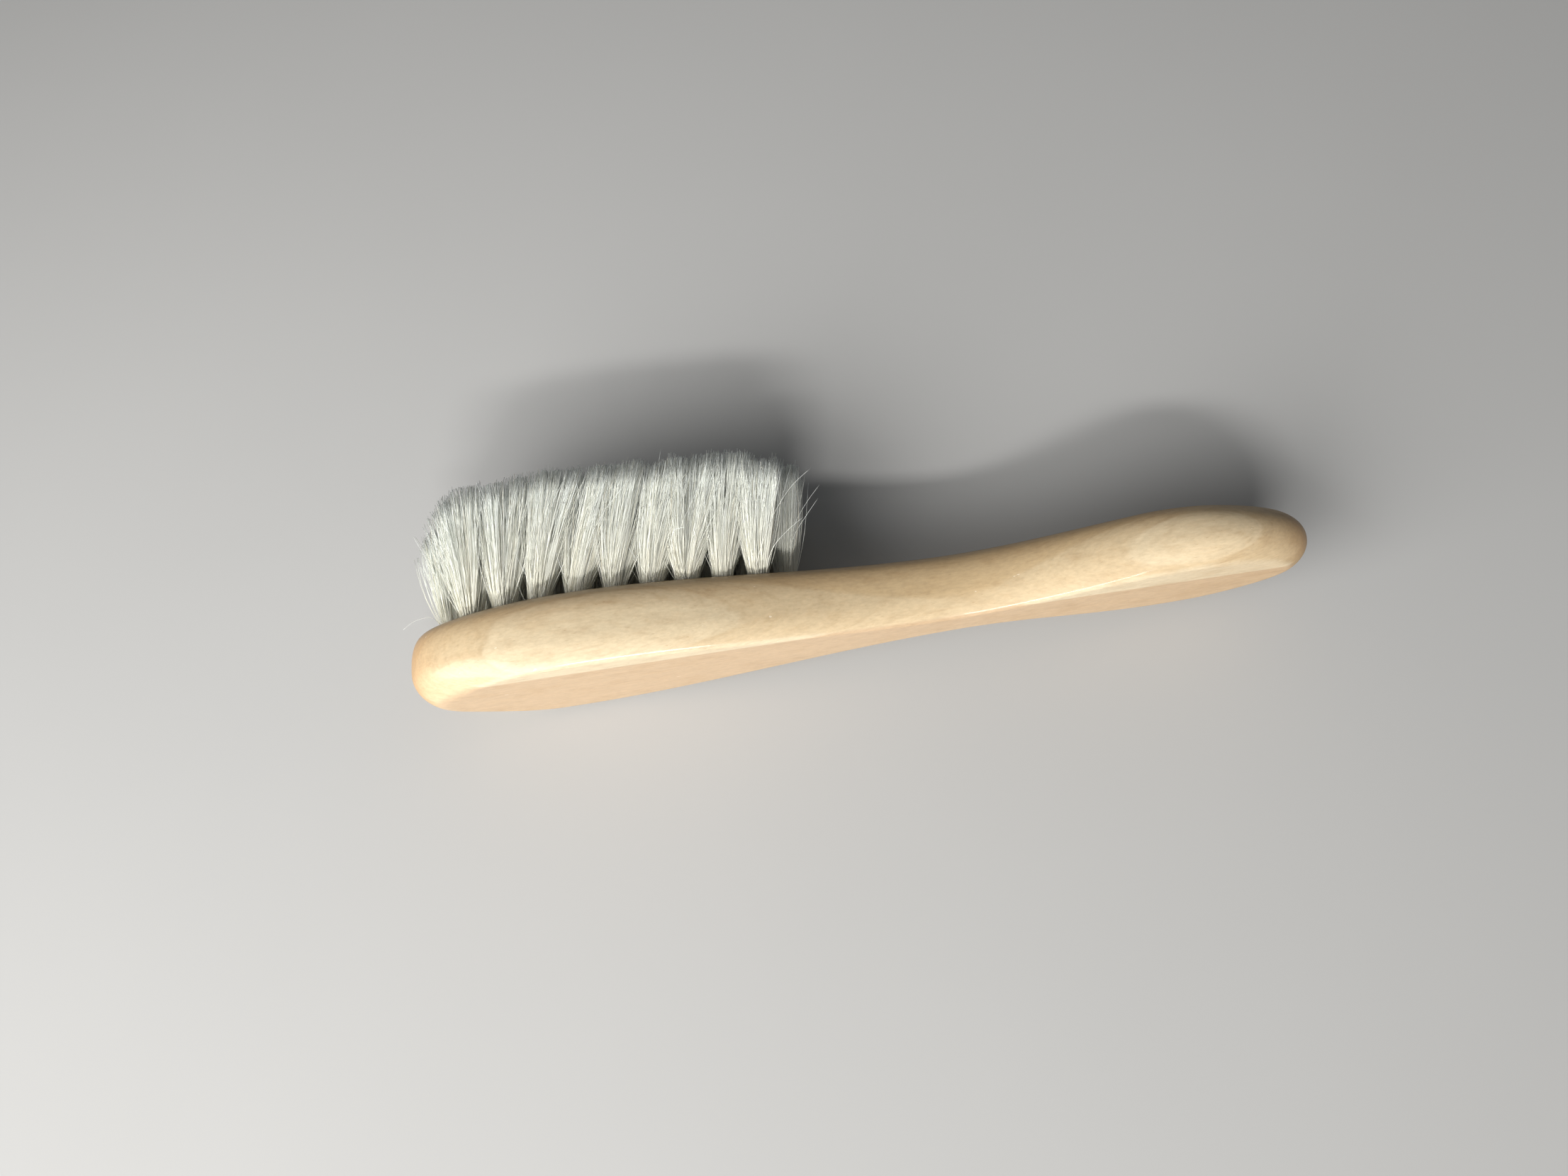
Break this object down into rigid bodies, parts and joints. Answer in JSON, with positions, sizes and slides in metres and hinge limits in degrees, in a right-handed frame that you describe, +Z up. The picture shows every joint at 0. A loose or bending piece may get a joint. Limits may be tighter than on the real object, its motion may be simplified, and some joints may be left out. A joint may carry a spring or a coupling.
{
  "type": "clothes brush",
  "caption": "Clothes brush with a one-piece wooden handle, oval head, narrow waist and rounded grip, filled with fanned tufts of pale goat hair held by wire anchors.",
  "frame": {"origin": "on the surface that the brush lies on, under the middle of its outer box", "axes": "+X along the handle from the nose of the head to the end of the grip, +Y from the flat back towards the hair tips, +Z up, across the brush, as it lies on its side"},
  "size_m": [0.17, 0.0406, 0.029],
  "materials": {
    "wood": "pale fine-grained wood under satin clear lacquer",
    "hair": "soft off-white goat hair, slightly translucent",
    "anchor_wire": "bare flat steel wire"
  },
  "bodies": {
    "root": {"handle": "wood", "tuft_upper_01": "hair", "tuft_upper_02": "hair", "tuft_upper_03": "hair", "tuft_upper_04": "hair", "tuft_upper_05": "hair", "tuft_upper_06": "hair", "tuft_upper_07": "hair", "tuft_upper_08": "hair", "tuft_upper_09": "hair", "tuft_middle_01": "hair", "tuft_middle_02": "hair", "tuft_middle_03": "hair", "tuft_middle_04": "hair", "tuft_middle_05": "hair", "tuft_middle_06": "hair", "tuft_middle_07": "hair", "tuft_middle_08": "hair", "tuft_middle_09": "hair", "tuft_middle_10": "hair", "tuft_lower_01": "hair", "tuft_lower_02": "hair", "tuft_lower_03": "hair", "tuft_lower_04": "hair", "tuft_lower_05": "hair", "tuft_lower_06": "hair", "tuft_lower_07": "hair", "tuft_lower_08": "hair", "tuft_lower_09": "hair", "anchor_upper_01": "anchor_wire", "anchor_upper_02": "anchor_wire", "anchor_upper_03": "anchor_wire", "anchor_upper_04": "anchor_wire", "anchor_upper_05": "anchor_wire", "anchor_upper_06": "anchor_wire", "anchor_upper_07": "anchor_wire", "anchor_upper_08": "anchor_wire", "anchor_upper_09": "anchor_wire", "anchor_middle_01": "anchor_wire", "anchor_middle_02": "anchor_wire", "anchor_middle_03": "anchor_wire", "anchor_middle_04": "anchor_wire", "anchor_middle_05": "anchor_wire", "anchor_middle_06": "anchor_wire", "anchor_middle_07": "anchor_wire", "anchor_middle_08": "anchor_wire", "anchor_middle_09": "anchor_wire", "anchor_middle_10": "anchor_wire", "anchor_lower_01": "anchor_wire", "anchor_lower_02": "anchor_wire", "anchor_lower_03": "anchor_wire", "anchor_lower_04": "anchor_wire", "anchor_lower_05": "anchor_wire", "anchor_lower_06": "anchor_wire", "anchor_lower_07": "anchor_wire", "anchor_lower_08": "anchor_wire", "anchor_lower_09": "anchor_wire"}
  },
  "joints": []
}
